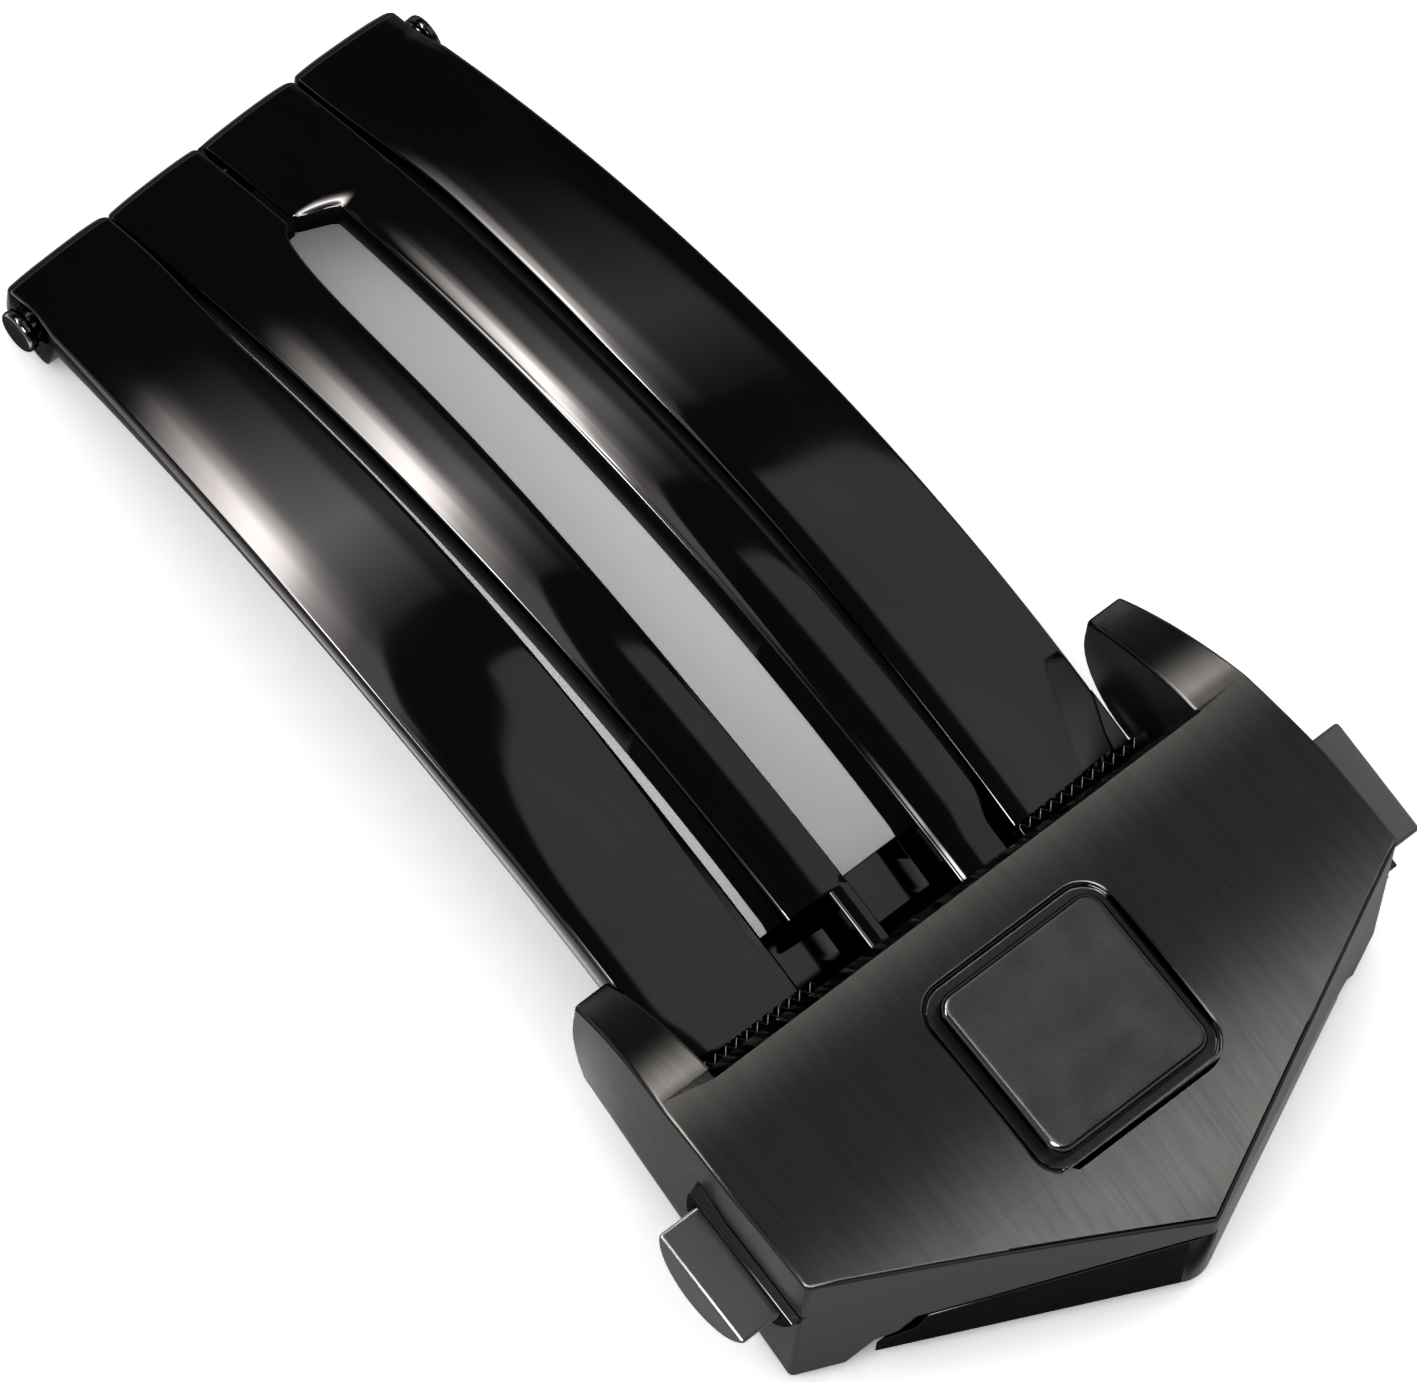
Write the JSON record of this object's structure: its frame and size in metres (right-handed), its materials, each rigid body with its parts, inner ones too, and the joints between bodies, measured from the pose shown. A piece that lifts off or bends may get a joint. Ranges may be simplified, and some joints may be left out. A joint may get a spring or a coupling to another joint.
{
  "type": "folding strap clasp",
  "caption": "Folding watch-strap clasp in black steel: slotted curved blades fold shut under a pentagonal cover with side push buttons.",
  "frame": {"origin": "middle of the folded clasp's bounding box, on the surface it rests on", "axes": "+X from the fold hinge to the cover's nose, +Y across the strap, +Z off the wrist"},
  "size_m": [0.0458, 0.026, 0.008],
  "materials": {
    "black_polished": "mirror-polished steel with a hard black coating",
    "black_brushed": "brushed steel with a hard black coating",
    "black_satin": "satin steel with a hard black coating",
    "black_matte": "sandblasted steel with a hard black coating",
    "steel": "fine satin",
    "spring_steel": "drawn wire"
  },
  "bodies": {
    "base": {"inner_frame": "black_polished", "catch_plate": "black_polished", "catch_post_left": "steel", "catch_post_right": "steel", "frame_rivets": "steel", "hinge_pin": "black_polished"},
    "top": {"outer_frame": "black_polished", "cover": "black_brushed", "cover_dowels": "steel", "plaque": "black_matte", "latch_block": "steel", "button_bush_left": "black_satin", "button_bush_right": "black_satin", "clamp_pin": "steel", "latch_spring_left": "spring_steel", "latch_spring_right": "spring_steel"},
    "left_latch": {"button_left": "black_satin", "latch_slide_left": "steel"},
    "right_latch": {"button_right": "black_satin", "latch_slide_right": "steel"},
    "flap": {"clamp_flap": "black_satin"}
  },
  "joints": [
    {"name": "fold", "type": "hinge", "parent": "base", "child": "top", "pos_m": [-0.02152, 0, 0.00135], "axis": [0, -1, 0], "range_deg": [0, 150]},
    {"name": "left_push", "type": "slide", "parent": "top", "child": "left_latch", "axis": [0, 1, 0], "range_m": [0, 0.0008], "stiffness_N_per_m": 1200, "springref_m": -0.001, "deforming": ["latch_spring_left"]},
    {"name": "right_push", "type": "slide", "parent": "top", "child": "right_latch", "axis": [0, -1, 0], "range_m": [0, 0.0008], "stiffness_N_per_m": 1200, "springref_m": -0.001, "deforming": ["latch_spring_right"]},
    {"name": "flap_swing", "type": "hinge", "parent": "top", "child": "flap", "pos_m": [0.01243, 0, 0.00287], "axis": [0, 1, 0], "range_deg": [0, 20]}
  ]
}
